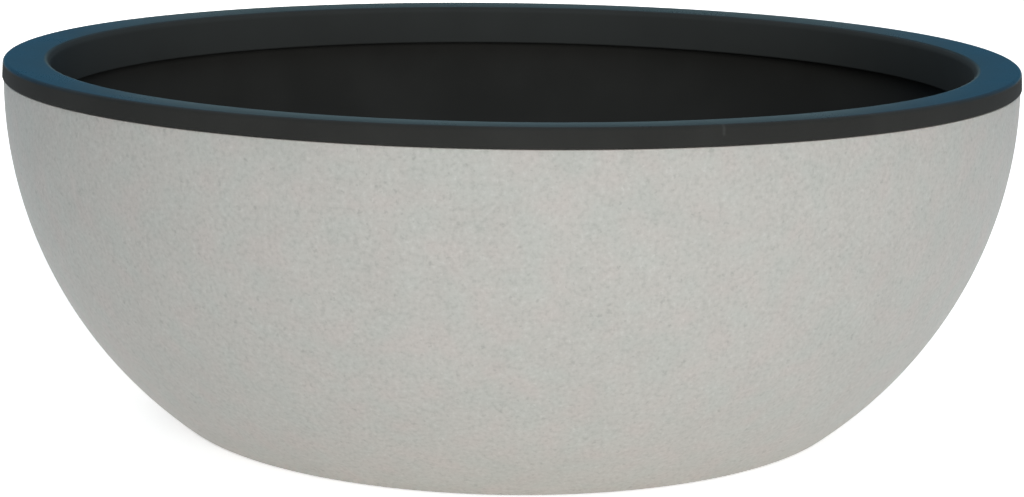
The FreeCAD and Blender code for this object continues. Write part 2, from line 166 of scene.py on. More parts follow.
class Shade:
    """A socket in a material's node tree. Arithmetic on it adds Math nodes."""

    def __init__(self, tree, socket):
        self.tree = tree
        self.socket = socket

    def node(self, kind, settings, sockets, output=0):
        """Add a node of a kind: its settings first, then its sockets' values or links. Gives one output."""
        made = self.tree.nodes.new(kind)
        for name, value in settings.items():
            if name == "stops":
                for stop in value[2:]:
                    made.color_ramp.elements.new(stop[0])
                for element, stop in zip(made.color_ramp.elements, value):
                    element.position, element.color = stop
            else:
                setattr(made, name, value)
        for name, value in sockets.items():
            if isinstance(value, Shade):
                self.tree.links.new(value.socket, made.inputs[name])
            else:
                made.inputs[name].default_value = value
        return Shade(self.tree, made.outputs[output])

    def other(self, output):
        """Another output of the same node."""
        return Shade(self.tree, self.socket.node.outputs[output])

    def math(self, operation, first, second=0.0):
        """A Math node on two values."""
        return self.node("ShaderNodeMath", {"operation": operation}, {0: first, 1: second})

    def __add__(self, other):
        return self.math("ADD", self, other)

    def __radd__(self, other):
        return self.math("ADD", other, self)

    def __sub__(self, other):
        return self.math("SUBTRACT", self, other)

    def __rsub__(self, other):
        return self.math("SUBTRACT", other, self)

    def __mul__(self, other):
        return self.math("MULTIPLY", self, other)

    def __rmul__(self, other):
        return self.math("MULTIPLY", other, self)

    def __truediv__(self, other):
        return self.math("DIVIDE", self, other)

    def noise(self, scale, detail=2.0, roughness=0.5):
        """Cloudy noise from 0 to 1, with so many features to the metre."""
        return self.node("ShaderNodeTexNoise", {"noise_dimensions": "3D"},
                         {"Vector": self, "Scale": scale, "Detail": detail, "Roughness": roughness})

    def ramp(self, low, high):
        """0 at the low value, 1 at the high one, with a soft start and end."""
        return self.node("ShaderNodeMapRange", {"interpolation_type": "SMOOTHSTEP"},
                         {"Value": self, "From Min": low, "From Max": high})

    def blend(self, first, second):
        """The first colour where this value is 0, the second where it is 1."""
        return self.node("ShaderNodeMix", {"data_type": "RGBA"}, {0: self, 6: first, 7: second}, 2)

    def bump(self, strength, distance):
        """A normal tilted by this value as a height."""
        return self.node("ShaderNodeBump", {}, {"Height": self, "Strength": strength, "Distance": distance})

    def feed(self, shader, socket):
        """Link this value to a socket of a shader."""
        self.tree.links.new(self.socket, shader.inputs[socket])


def new_finish(name, **sockets):
    """A material, its Principled shader with plain socket values, and the place on the piece in metres."""
    material = bpy.data.materials.new(name)
    material.use_nodes = True
    shader = material.node_tree.nodes["Principled BSDF"]
    for socket, value in sockets.items():
        shader.inputs[socket.replace("_", " ")].default_value = value
    place = Shade(material.node_tree, material.node_tree.nodes.new("ShaderNodeTexCoord").outputs["Object"])
    return material, shader, place


def flecks(place, scale, share, radius, wander):
    """Flecks of stone: the cells of a scale whose random value is under a share hold one, soft at its edge.

    The place wanders a little first, so that no fleck is round. A fleck's radius, in cells, varies with the
    cell.
    """
    drift = place.node("ShaderNodeTexNoise", {},
                       {"Vector": place, "Scale": scale * 2.2, "Detail": 1.0}, "Color")
    drift = place.node("ShaderNodeVectorMath", {"operation": "SUBTRACT"}, {0: drift, 1: (0.5, 0.5, 0.5)})
    drift = place.node("ShaderNodeVectorMath", {"operation": "SCALE"}, {0: drift, "Scale": wander / scale})
    strayed = place.node("ShaderNodeVectorMath", {"operation": "ADD"}, {0: place, 1: drift})
    distance = place.node("ShaderNodeTexVoronoi", {"feature": "F1"},
                          {"Vector": strayed, "Scale": scale, "Randomness": 1.0}, "Distance")
    chance = place.node("ShaderNodeSeparateColor", {}, {"Color": distance.other("Color")}, "Red")
    size = radius * (0.5 + chance.other("Green"))
    return (distance / size).ramp(1.25, 0.55) * chance.ramp(share, share - 0.05)


stone, stone_shader, stone_place = new_finish("stone_skin", Specular_IOR_Level=0.18)
stone_cloud = stone_place.noise(cloud_scale, 3.0)
stone_tint = stone_place.noise(tint_scale, 1.0)
stone_grain = stone_place.noise(grain_scale, 3.0, 0.6)
stone_specks = flecks(stone_place, speck_cells, share=0.34, radius=0.20, wander=0.9)
stone_dust = flecks(stone_place, dust_cells, share=0.30, radius=0.24, wander=0.8)
stone_glints = flecks(stone_place, glint_cells, share=0.16, radius=0.17, wander=0.9)
stone_colour = stone_tint.ramp(0.30, 0.50).blend(stone_cool, stone_mid)
stone_colour = stone_tint.ramp(0.50, 0.72).blend(stone_colour, stone_warm)
stone_colour = (cloud_depth * stone_cloud.ramp(0.62, 0.30)).blend(stone_colour, fleck_dark)
stone_colour = (grain_dark * stone_grain.ramp(0.54, 0.26)).blend(stone_colour, fleck_dark)
stone_colour = (grain_light * stone_grain.ramp(0.52, 0.78)).blend(stone_colour, fleck_light)
stone_colour = (dust_depth * stone_dust).blend(stone_colour, fleck_dark)
stone_colour = (glint_depth * stone_glints).blend(stone_colour, fleck_light)
stone_colour = (speck_depth * stone_specks).blend(stone_colour, fleck_dark)
stone_colour.feed(stone_shader, "Base Color")
(0.62 - 0.10 * stone_grain + 0.08 * stone_specks).feed(stone_shader, "Roughness")
stone_pits = stone_grain + 0.5 * stone_place.noise(pit_scale, 2.0)
stone_pits.bump(0.16, 0.5 * mm).feed(stone_shader, "Normal")


def rib_lines(radius, steps=41):
    """Angles of the lines of the bowl, as (line, radius), and each line's number in its sector.

    In each sector, four lines run parallel to the rib at its two sides, asin(offset / radius) from its
    middle, and the rest divide what is left evenly.
    """
    rib_foot = rib_half_width + rib_draft
    offset = np.array([-rib_foot, -rib_half_width, rib_half_width, rib_foot])
    beside = np.arcsin(offset[:, None] / radius)
    sector = 2 * np.pi / floor_ribs
    share = np.linspace(0.0, 1.0, steps)[1:-1, None]
    between = beside[3] + share * (sector + beside[0] - beside[3])
    one = np.vstack([beside, between])
    turns = sector * np.arange(floor_ribs)
    angles = (turns[:, None, None] + one).reshape(-1, len(radius))
    return angles, np.tile(np.arange(len(one)), floor_ribs)


inner_arc_radius = arc_radius - shell_wall
base_turn = math.degrees(math.atan2(-straight_level, base_radius - arc_centre))
floor_turn = math.degrees(math.asin((shell_floor_top - straight_level) / inner_arc_radius))
floor_edge = arc_centre + inner_arc_radius * math.cos(math.radians(floor_turn))
rib_stations = np.concatenate(
    [[rib_end + rib_draft], np.linspace(rib_end, rib_start, 16), [rib_start - rib_draft]])
shell_profile = section(
    (base_radius, 0.0, foot_edge),
    arc(arc_centre, straight_level, arc_radius, base_turn + 1.2, 0.0, 72),
    (shell_radius, shoulder_level, eased_edge),
    (tongue_radius, shoulder_level, crisp_edge),
    (tongue_radius, shell_top, eased_edge),
    (shell_radius - shell_wall, shell_top, eased_edge),
    arc(arc_centre, straight_level, inner_arc_radius, 0.0, floor_turn + 1.5, 48),
    (floor_edge, shell_floor_top, floor_corner),
    np.column_stack([rib_stations, np.full(len(rib_stations), shell_floor_top)]),
    (drain_hole_radius, shell_floor_top, soft_edge),
    (drain_hole_radius, foot_height, soft_edge),
    (foot_inner_radius, foot_height, foot_corner),
    (foot_inner_radius, 0.0, foot_inner_edge),
)
shell_angles, shell_line = rib_lines(shell_profile[:, 0])
shell_grid = turned(shell_profile, shell_angles)
shell_reach, shell_level = shell_profile.T
on_floor = np.abs(shell_level - shell_floor_top) < 1e-9
on_rib = on_floor & (shell_reach < rib_end + 1e-9) & (shell_reach > rib_start - 1e-9)
rib_tops = np.isin(shell_line, (1, 2))
shell_grid[:, :, 2] += rib_height * (rib_tops[:, None] & on_rib)
outer_bowl = new_piece("outer_bowl_skin", [skin(shell_grid)], stone)
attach(outer_bowl, "outer")
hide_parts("outer_bowl")

# Inner bowl: a dark lift-out liner, injection moulded with a fine matt grain. Its flange lies on the top edge
# of the outer bowl, a bead under the flange holds the hooks of the rim, and a spigot in its floor takes tube
# and plug.
liner_wall = 3.0 * mm
liner_outer_radius = 286.2 * mm
flange_radius = 295.7 * mm
flange_bottom = 206.0 * mm
flange_top = 209.0 * mm
bead_top = 202.0 * mm
bead_bottom = 198.8 * mm
bead_height = 1.3 * mm
liner_base = 20.0 * mm
liner_floor_top = 23.0 * mm
spigot_radius = 18.0 * mm
bore_radius = 15.0 * mm
spigot_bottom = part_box("inner_bowl")[0].z
spigot_corner = 1.5 * mm
liner_base_edge_round = 3.0 * mm
liner_floor_corner = 5.0 * mm
fine_edge = 0.3 * mm
liner_dark = (0.0290, 0.0297, 0.0278, 1.0)
liner_worn = (0.0410, 0.0417, 0.0392, 1.0)

liner_plastic, liner_shader, liner_place = new_finish("liner_plastic", Specular_IOR_Level=0.22)
liner_cloud = liner_place.noise(14.0, 3.0)
liner_grain = liner_place.noise(1100.0, 2.0)
liner_mix = liner_cloud.ramp(0.30, 0.72) * 0.7 + 0.3 * liner_grain
liner_mix.blend(liner_dark, liner_worn).feed(liner_shader, "Base Color")
(0.58 + 0.12 * liner_cloud - 0.10 * liner_grain).feed(liner_shader, "Roughness")
liner_grain.bump(0.10, 0.4 * mm).feed(liner_shader, "Normal")

liner_inner_radius = liner_outer_radius - liner_wall
liner_outer_arc = liner_outer_radius - arc_centre
liner_inner_arc = liner_inner_radius - arc_centre
outer_turn = math.degrees(math.asin((liner_base - straight_level) / liner_outer_arc))
inner_turn = math.degrees(math.asin((liner_floor_top - straight_level) / liner_inner_arc))
liner_base_edge = arc_centre + liner_outer_arc * math.cos(math.radians(outer_turn))
liner_floor_edge = arc_centre + liner_inner_arc * math.cos(math.radians(inner_turn))
liner_profile = section(
    (bore_radius, spigot_bottom, eased_edge),
    (spigot_radius, spigot_bottom, eased_edge),
    (spigot_radius, liner_base, spigot_corner),
    (liner_base_edge, liner_base, liner_base_edge_round),
    arc(arc_centre, straight_level, liner_outer_arc, outer_turn + 1.5, 0.0, 48),
    (liner_outer_radius, flange_bottom, eased_edge),
    (flange_radius, flange_bottom, crisp_edge),
    (flange_radius, flange_top, crisp_edge),
    (liner_inner_radius, flange_top, crisp_edge),
    (liner_inner_radius, bead_top, fine_edge),
    (liner_inner_radius - bead_height, bead_top - bead_height, fine_edge),
    (liner_inner_radius - bead_height, bead_bottom, fine_edge),
    (liner_inner_radius, bead_bottom, fine_edge),
    arc(arc_centre, straight_level, liner_inner_arc, 0.0, inner_turn + 1.8, 60),
    (liner_floor_edge, liner_floor_top, liner_floor_corner),
    (bore_radius, liner_floor_top, soft_edge),
)
inner_bowl = new_piece("inner_bowl_liner", [skin(turned(liner_profile, even_turn(360)))], liner_plastic)
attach(inner_bowl, "liner")
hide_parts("inner_bowl")

# Rim cap: one anthracite moulding with a dull outer band, a satin land on top and a skirt down inside. Twelve
# snap hooks under the land grip the bead of the inner bowl, so the two lift out together. A narrow pale
# streak at the front right, from the upper band over the land, is a painted highlight, and painted light
# makes the skirt lighter than the band.
rim_radius = 300.0 * mm
band_top_radius = 299.5 * mm
band_top = 210.5 * mm
band_bottom = 202.8 * mm
band_inner_radius = 296.5 * mm
edge_round = 2.5 * mm
land_inner_level = 212.0 * mm
lip_round = 4.0 * mm
skirt_radius = 272.5 * mm
skirt_outer_radius = 275.5 * mm
skirt_round = 1.2 * mm
skirt_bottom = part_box("rim_cap")[0].z
rim_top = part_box("rim_cap")[1].z
hooks = 12
hook_half_turn = math.radians(1.5)
hook_inside = 279.2 * mm
hook_outside = 281.6 * mm
barb_tip = 282.9 * mm
barb_top = 198.5 * mm
hook_bottom = 195.5 * mm
# A narrow upright streak of painted highlight at the front right of the rim: its turn, its half width, and
# the heights where it starts and where it is full.
highlight_turn = math.radians(-70.0)
highlight_half_width = 1.1 * mm
highlight_bottom = 207.0 * mm
highlight_full = 208.5 * mm
rim_dark = (0.0252, 0.0254, 0.0237, 1.0)
rim_worn = (0.0335, 0.0337, 0.0315, 1.0)
# Painted light: the skirt's colour, lighter and a little bluer than the band.
skirt_painted_light = (0.0540, 0.0590, 0.0580, 1.0)
# The pale colour of the painted highlight streak.
rim_highlight = (0.0560, 0.0570, 0.0545, 1.0)
band_roughness = 0.80
land_roughness = 0.28

rim_plastic, rim_shader, rim_place = new_finish("rim_plastic", Specular_IOR_Level=0.09)
rim_x = rim_place.node("ShaderNodeSeparateXYZ", {}, {"Vector": rim_place}, "X")
rim_y = rim_x.other("Y")
rim_z = rim_x.other("Z")
rim_turn = rim_place.math("ARCTAN2", rim_y, rim_x)
rim_reach = rim_place.math("SQRT", rim_x * rim_x + rim_y * rim_y)
rim_cloud = rim_place.noise(18.0, 3.0)
rim_grain = rim_place.noise(900.0, 2.0)
# The painted highlight: a pale upright streak from near the top of the band over the land. The bump raises it
# a little.
highlight_distance = rim_place.math("ABSOLUTE", (rim_turn - highlight_turn) * rim_radius)
highlight_streak = highlight_distance.ramp(highlight_half_width, 0.3 * highlight_half_width) * rim_z.ramp(highlight_bottom, highlight_full)
rim_colour = (rim_cloud.ramp(0.30, 0.72) * 0.7 + 0.3 * rim_grain).blend(rim_dark, rim_worn)
# The skirt is painted lighter towards its inner face, and the cloud varies it. This is painted light that
# stands in for the light falling inside the rim.
skirt_light_share = rim_reach.ramp(skirt_outer_radius, skirt_radius) * (0.6 + 0.4 * rim_cloud)
rim_colour = skirt_light_share.blend(rim_colour, skirt_painted_light)
(0.55 * highlight_streak).blend(rim_colour, rim_highlight).feed(rim_shader, "Base Color")
rim_land = rim_z.ramp(band_top, rim_top - 1.0 * mm)
rim_dullness = band_roughness - (band_roughness - land_roughness) * rim_land
(rim_dullness + 0.08 * rim_cloud - 0.06 * rim_grain).feed(rim_shader, "Roughness")
(rim_grain + 0.6 * highlight_streak).bump(0.05, 0.3 * mm).feed(rim_shader, "Normal")

hook_path = np.array([
    (hook_inside, flange_top), (hook_inside, hook_bottom), (hook_outside, hook_bottom),
    (barb_tip, barb_top - bead_height), (barb_tip, barb_top),
    (hook_outside, barb_top), (hook_outside, flange_top)])
hook_base = np.column_stack([np.linspace(hook_inside, hook_outside, len(hook_path)),
                             np.full(len(hook_path), flange_top)])
rim_plain = section(
    (rim_radius, band_bottom, crisp_edge),
    arc(band_top_radius - edge_round, rim_top - edge_round, edge_round, 4.0, 90.0, 12),
    arc(skirt_radius + lip_round, land_inner_level - lip_round, lip_round, 87.0, 180.0, 14),
    arc(skirt_radius + skirt_round, skirt_bottom + skirt_round, skirt_round, 180.0, 270.0, 7),
    (skirt_outer_radius, skirt_bottom, fine_edge),
    (skirt_outer_radius, flange_top, soft_edge),
    hook_base,
    (band_inner_radius, flange_top, soft_edge),
    (band_inner_radius, band_bottom, fine_edge),
)
# The profile through a hook has the hook's outline in place of the flat run under the land. Lines just
# outside a hook's sides carry the plain profile, which makes those sides upright.
hook_run = np.flatnonzero((rim_plain[:, None] == hook_base).all(axis=2).any(axis=1))
rim_hooked = rim_plain.copy()
rim_hooked[hook_run] = hook_path
hook_edge = np.array([-1.0001, -1.0, -0.5, 0.0, 0.5, 1.0, 1.0001]) * hook_half_turn
hook_sector = 2 * np.pi / hooks
hook_gap = np.linspace(hook_edge[-1], hook_sector + hook_edge[0], 26)[1:-1]
rim_lines = np.concatenate([hook_edge, hook_gap])
is_hook = np.tile(np.abs(rim_lines) <= 1.00001 * hook_half_turn, hooks)
rim_angles = (hook_sector * np.arange(hooks)[:, None] + rim_lines).reshape(-1, 1)
rim_grid = np.where(
    is_hook[:, None, None], turned(rim_hooked, rim_angles), turned(rim_plain, rim_angles))
rim_cap = new_piece("rim_cap_moulding", [skin(rim_grid)], rim_plastic)
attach(rim_cap, "liner")
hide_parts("rim_cap")

# Raised floor: a perforated plate over the water reserve, moulded in plain dark grey polymer with an upturned
# edge. It has a hole for each wick basket, for each post's peg and for the tube's head, and rows of drip
# holes.
grid_radius = 230.96 * mm
grid_lip_radius = 227.96 * mm
grid_hole_radius = 19.8 * mm
grid_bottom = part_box("reserve_grid")[0].z
grid_top = 54.0 * mm
grid_lip_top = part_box("reserve_grid")[1].z
grid_lip_corner = 1.0 * mm
grid_edge = 0.35 * mm
posts = 8
post_first = 22.5
post_pitch = 180.06 * mm
peg_hole_radius = 6.7 * mm
baskets = 4
basket_first = 45.0
basket_pitch = 110.0 * mm
basket_hole_radius = 28.6 * mm
drip_radius = 3.0 * mm
drips_inside = 20
drip_rings_inside = (34.8 * mm, 49.8 * mm, 64.8 * mm)
drip_fields = 4
drip_field_out = (102.5 * mm, 117.5 * mm, 132.5 * mm)
drip_field_aside = (-15.0 * mm, 0.0, 15.0 * mm)
drips_outside = 40
drip_rings_outside = (161.56 * mm, 200.96 * mm, 215.96 * mm)
reserve_dark = (0.0330, 0.0345, 0.0345, 1.0)
reserve_pale = (0.0500, 0.0520, 0.0515, 1.0)

reserve_plastic, reserve_shader, reserve_place = new_finish("reserve_plastic", Specular_IOR_Level=0.30)
reserve_cloud = reserve_place.noise(26.0, 4.0)
reserve_grain = reserve_place.noise(1300.0, 2.0)
reserve_mix = reserve_cloud.ramp(0.28, 0.74) * 0.75 + 0.25 * reserve_grain
reserve_mix.blend(reserve_dark, reserve_pale).feed(reserve_shader, "Base Color")
(0.46 + 0.16 * reserve_cloud - 0.08 * reserve_grain).feed(reserve_shader, "Roughness")
reserve_grain.bump(0.08, 0.3 * mm).feed(reserve_shader, "Normal")


def in_ring(count, pitch, aside=0.0, first=0.0):
    """Centres of holes in a ring: (pitch, aside) turned in even steps from a first angle in degrees."""
    turn = np.radians(first + np.arange(count) * 360.0 / count)
    return np.column_stack([pitch * np.cos(turn) - aside * np.sin(turn),
                            pitch * np.sin(turn) + aside * np.cos(turn)])


def moved(shell, across, along):
    """A shell carried to its place beside the axis."""
    points, faces = shell
    return points + np.array([across, along, 0.0]), faces


def plate_face(rings, level, facing):
    """A flat face inside the first ring and outside the others: a Delaunay net over their points, less the
    triangles whose middle lies in a hole, wound to face up (1) or down (-1)."""
    edges = []
    first = 0
    for ring in rings:
        around = first + np.arange(len(ring))
        edges.append(np.column_stack([around, np.roll(around, -1)]))
        first += len(ring)
    net = delaunay_2d_cdt(np.vstack(rings).tolist(), np.vstack(edges).tolist(), [], 0, 1e-9)
    flat = np.array(net[0])
    faces = np.array(net[2])
    middle = flat[faces].mean(axis=1)
    centres = np.array([ring.mean(axis=0) for ring in rings[1:]])
    radii = np.array([np.linalg.norm(ring - ring.mean(axis=0), axis=1).max() for ring in rings[1:]])
    faces = faces[(np.linalg.norm(middle[:, None] - centres, axis=2) > radii).all(axis=1)]
    one, two = flat[faces[:, 1]] - flat[faces[:, 0]], flat[faces[:, 2]] - flat[faces[:, 0]]
    wrong = facing * (one[:, 0] * two[:, 1] - one[:, 1] * two[:, 0]) < 0
    faces[wrong] = faces[wrong, ::-1]
    return np.column_stack([flat, np.full(len(flat), level)]), faces


hole_rows = [
    # centres, radius and number of sides
    (np.zeros((1, 2)), grid_hole_radius, 72),
    (in_ring(baskets, basket_pitch, first=basket_first), basket_hole_radius, 84),
    (in_ring(posts, post_pitch, first=post_first), peg_hole_radius, 32),
]
hole_rows += [(in_ring(drips_inside, pitch), drip_radius, 18) for pitch in drip_rings_inside]
hole_rows += [(in_ring(drip_fields, pitch, aside), drip_radius, 18)
              for pitch in drip_field_out for aside in drip_field_aside]
hole_rows += [(in_ring(drips_outside, pitch), drip_radius, 18) for pitch in drip_rings_outside]
lip_strip = section(
    (grid_radius - grid_edge, grid_bottom),
    arc(grid_radius - grid_edge, grid_bottom + grid_edge, grid_edge, -60.0, 0.0, 3),
    arc(grid_radius - grid_edge, grid_lip_top - grid_edge, grid_edge, 0.0, 90.0, 5),
    arc(grid_lip_radius + grid_edge, grid_lip_top - grid_edge, grid_edge, 90.0, 180.0, 5),
    (grid_lip_radius, grid_top + grid_lip_corner),
    arc(grid_lip_radius - grid_lip_corner, grid_top + grid_lip_corner, grid_lip_corner, -15.0, -90.0, 6),
)
grid_shells = [skin(turned(lip_strip, even_turn(360)), closed_along=False)]
lower_rings = [turned(lip_strip[:1], even_turn(360))[:, 0, :2]]
upper_rings = [turned(lip_strip[-1:], even_turn(360))[:, 0, :2]]
for centres, radius, count in hole_rows:
    strip = section(
        arc(radius + grid_edge, grid_top - grid_edge, grid_edge, 90.0, 180.0, 4),
        arc(radius + grid_edge, grid_bottom + grid_edge, grid_edge, 180.0, 270.0, 4))
    wall = turned(strip, even_turn(count))
    grid_shells += [moved(skin(wall, closed_along=False), *centre) for centre in centres]
    upper_rings += [wall[:, 0, :2] + centre for centre in centres]
    lower_rings += [wall[:, -1, :2] + centre for centre in centres]
grid_shells += [plate_face(upper_rings, grid_top, 1), plate_face(lower_rings, grid_bottom, -1)]
raised_floor = new_piece("raised_floor_plate", grid_shells, reserve_plastic)
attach(raised_floor, "raised_floor")
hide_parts("reserve_grid")

# Support posts: eight hollow posts, moulded in the same dark grey polymer, that stand on the floor of the
# inner bowl. Each carries the raised floor on its shoulder and keeps its place with a peg pushed into the
# plate.
post_radius = 11.0 * mm
post_bore = 9.0 * mm
post_cap = 2.0 * mm
post_cap_corner = 0.8 * mm
peg_radius = 6.5 * mm
peg_edge = 0.7 * mm
sharp_edge = 0.2 * mm
post_profile = section(
    (post_bore, liner_floor_top, fine_edge),
    (post_radius, liner_floor_top, crisp_edge),
    (post_radius, grid_bottom, crisp_edge),
    (peg_radius, grid_bottom, sharp_edge),
    (peg_radius, grid_top, peg_edge),
    (0.0, grid_top),
    (0.0, grid_bottom - post_cap),
    (post_bore, grid_bottom - post_cap, post_cap_corner),
)
post_shell = skin(turned(post_profile, even_turn(64)))
for number, centre in enumerate(in_ring(posts, post_pitch, first=post_first), start=1):
    post = new_piece(f"post_{number}", [moved(post_shell, *centre)], reserve_plastic)
    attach(post, "raised_floor")
    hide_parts(f"support_post_{number}")

# Wick baskets: four slotted cups that hang by their flanges in the raised floor and dip into the reserve, so
# that the soil in them draws the water up. Moulded in the same dark grey polymer.
slot_half_width = 2.5 * mm
slots = 10
slot_first = math.radians(18.0)
slot_cell = 5
slot_narrowest = 12.0 * mm
basket_wall = mm * np.array([
    # outside radius and height, inside radius and height
    (2.50, 25.00, 2.50, 27.00), (12.0, 25.00, 11.0, 27.00), (22.0, 25.00, 20.0, 27.00),
    (22.6, 25.15, 20.7, 27.20), (23.1, 25.70, 21.1, 27.80), (23.96, 30.0, 21.63, 30.0),
    (27.04, 46.0, 24.96, 46.0), (28.0, 51.00, 26.0, 51.00), (28.0, 53.80, 26.0, 55.50),
    (28.2, 54.00, 26.1, 55.80), (28.6, 54.00, 26.5, 56.00), (32.6, 54.00, 32.5, 56.00),
    (32.9, 54.15, 32.9, 55.85), (33.0, 54.50, 33.0, 55.50)])


def walled(outside, inside, gone, end_cap=True):
    """A thin wall from its outside and inside points, both as (round, along), with its end edges closed.

    Cells marked gone are left out on both sides, and where a cell that stays meets one that is gone, a face
    joins the outside edge to the inside edge.
    """
    rows, columns = outside.shape[:2]
    out = np.arange(rows * columns).reshape(rows, columns)
    inn = out + rows * columns
    out_next, inn_next = np.roll(out, -1, 0), np.roll(inn, -1, 0)
    stays = ~gone
    before = np.roll(stays, 1, 0)
    low, high = slice(None, -1), slice(1, None)
    kinds = [
        (stays, (out[:, low], out_next[:, low], out_next[:, high], out[:, high])),
        (stays, (inn[:, low], inn[:, high], inn_next[:, high], inn_next[:, low])),
        (before & gone, (out[:, low], inn[:, low], inn[:, high], out[:, high])),
        (stays & ~before, (out[:, low], out[:, high], inn[:, high], inn[:, low])),
        (stays[:, :-1] & gone[:, 1:], (out[:, 1:-1], out_next[:, 1:-1], inn_next[:, 1:-1], inn[:, 1:-1])),
        (gone[:, :-1] & stays[:, 1:], (out[:, 1:-1], inn[:, 1:-1], inn_next[:, 1:-1], out_next[:, 1:-1])),
        (stays[:, 0], (inn[:, 0], inn_next[:, 0], out_next[:, 0], out[:, 0])),
    ]
    if end_cap:
        kinds.append((stays[:, -1], (out[:, -1], out_next[:, -1], inn_next[:, -1], inn[:, -1])))
    faces = np.vstack([np.stack([side[chosen] for side in sides], axis=-1) for chosen, sides in kinds])
    return np.vstack([outside.reshape(-1, 3), inside.reshape(-1, 3)]), faces


def cut_lines(radius, half_width, cuts, between, first):
    """Angles of lines as (line, radius): in each sector, the two sides of a cut, asin(half width / radius)
    from its middle, then even steps to the next cut."""
    side = np.arcsin(half_width / radius)
    sector = 2 * np.pi / cuts
    share = np.linspace(0.0, 1.0, between + 2)[:-1, None]
    one = np.vstack([-side, side + share * (sector - 2 * side)])
    return (first + sector * np.arange(cuts)[:, None, None] + one).reshape(-1, len(radius))


def basket_side(radius, height):
    """One side of the basket's wall, with lines along the slots where the wall is wide enough for them."""
    lines = cut_lines(np.maximum(radius, slot_narrowest), slot_half_width, slots, 7, slot_first)
    return turned(np.column_stack([radius, height]), lines)


basket_outside = basket_side(basket_wall[:, 0], basket_wall[:, 1])
basket_inside = basket_side(basket_wall[:, 2], basket_wall[:, 3])
slot_cells = np.zeros((len(basket_outside), len(basket_wall) - 1), dtype=bool)
slot_cells[::len(basket_outside) // slots, slot_cell] = True
basket_shell = walled(basket_outside, basket_inside, slot_cells)
for number, centre in enumerate(in_ring(baskets, basket_pitch, first=basket_first), start=1):
    basket = new_piece(f"basket_{number}", [moved(basket_shell, *centre)], reserve_plastic)
    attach(basket, "raised_floor")
    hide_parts(f"wick_basket_{number}")

# Overflow tube: a standpipe of the same dark grey polymer, pushed into the spigot of the inner bowl. Surplus
# water runs in at its four windows and out below. Its head closes the hole in the raised floor, and a knob on
# it lifts the tube out.
tube_radius = 12.0 * mm
tube_bore = 9.5 * mm
tube_mouth_edge = 0.3 * mm
push_radius = 14.7 * mm
groove_radius = 12.0 * mm
groove_half = 1.6 * mm
tube_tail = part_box("overflow_tube")[0].z
tail_round = 0.6 * mm
tube_groove = 19.0 * mm
seat_radius = 17.5 * mm
seat_top = 26.0 * mm
window_half_width = 4.0 * mm
window_low = 39.0 * mm
window_high = 45.0 * mm
windows = 4
head_radius = 19.0 * mm
head_top = 57.0 * mm
head_under_round = 0.5 * mm
head_round = 1.0 * mm
knob_radius = 7.0 * mm
knob_round = 2.0 * mm
knob_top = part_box("overflow_tube")[1].z
tube_stem = section(
    (tube_bore + tube_mouth_edge, tube_tail),
    arc(push_radius - tail_round, tube_tail + tail_round, tail_round, -90.0, 0.0, 5),
    (push_radius, tube_groove - groove_half, sharp_edge),
    (groove_radius, tube_groove - groove_half, sharp_edge),
    (groove_radius, tube_groove + groove_half, sharp_edge),
    (push_radius, tube_groove + groove_half, sharp_edge),
    (push_radius, liner_floor_top, sharp_edge),
    (seat_radius, liner_floor_top, fine_edge),
    (seat_radius, seat_top, eased_edge),
    (tube_radius, seat_top, eased_edge),
    (tube_radius, window_low),
)
tube_head = section(
    (tube_radius, window_high),
    (tube_radius, grid_bottom, eased_edge),
    arc(head_radius - head_under_round, grid_bottom + head_under_round, head_under_round, -90.0, 0.0, 4),
    arc(head_radius - head_round, head_top - head_round, head_round, 0.0, 90.0, 6),
    (knob_radius, head_top, head_round),
    arc(knob_radius - knob_round, knob_top - knob_round, knob_round, 0.0, 90.0, 8),
    (0.0, knob_top),
)
tube_outline = np.vstack([tube_stem, tube_head])
bore_rise = np.column_stack([
    np.full(len(tube_stem), tube_bore),
    np.linspace(tube_tail + tube_mouth_edge, window_low, len(tube_stem))])
bore_close = np.column_stack([
    np.linspace(tube_bore, 0.0, len(tube_head) - 1),
    np.full(len(tube_head) - 1, grid_bottom)])
bore_outline = np.vstack([bore_rise, [(tube_bore, window_high)], bore_close])
tube_turns = [cut_lines(np.full(len(tube_outline), radius), window_half_width, windows, 12, 0.0)
              for radius in (tube_radius, tube_bore)]
window_cells = np.zeros((len(tube_turns[0]), len(tube_outline) - 1), dtype=bool)
window_cells[::len(tube_turns[0]) // windows, len(tube_stem) - 1] = True
tube_shell = walled(
    turned(tube_outline, tube_turns[0]), turned(bore_outline, tube_turns[1]), window_cells, end_cap=False)
overflow_tube = new_piece("overflow_standpipe", [tube_shell], reserve_plastic)
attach(overflow_tube, "overflow")
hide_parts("overflow_tube")

# Drain plug: a push-in plug that closes the spigot from below, hollow, with a bar across the hollow to pull
# it by. Moulded in the same dark polymer as the inner bowl.
plug_flange_radius = 17.5 * mm
plug_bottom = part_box("drain_plug")[0].z
plug_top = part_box("drain_plug")[1].z
plug_top_edge = 0.7 * mm
plug_groove = 9.0 * mm
plug_hollow = 9.4 * mm
plug_roof = 10.4 * mm
plug_roof_corner = 0.8 * mm
grip_reach = 10.7 * mm
grip_half_width = 2.0 * mm
grip_bottom = 3.0 * mm
grip_top = 8.0 * mm
plug_profile = section(
    (plug_hollow, plug_bottom, crisp_edge),
    (plug_flange_radius, plug_bottom, soft_edge),
    (plug_flange_radius, spigot_bottom, crisp_edge),
    (push_radius, spigot_bottom, sharp_edge),
    (push_radius, plug_groove - groove_half, sharp_edge),
    (groove_radius, plug_groove - groove_half, sharp_edge),
    (groove_radius, plug_groove + groove_half, sharp_edge),
    (push_radius, plug_groove + groove_half, sharp_edge),
    (push_radius, plug_top, plug_top_edge),
    (0.0, plug_top),
    (0.0, plug_roof),
    (plug_hollow, plug_roof, plug_roof_corner),
)
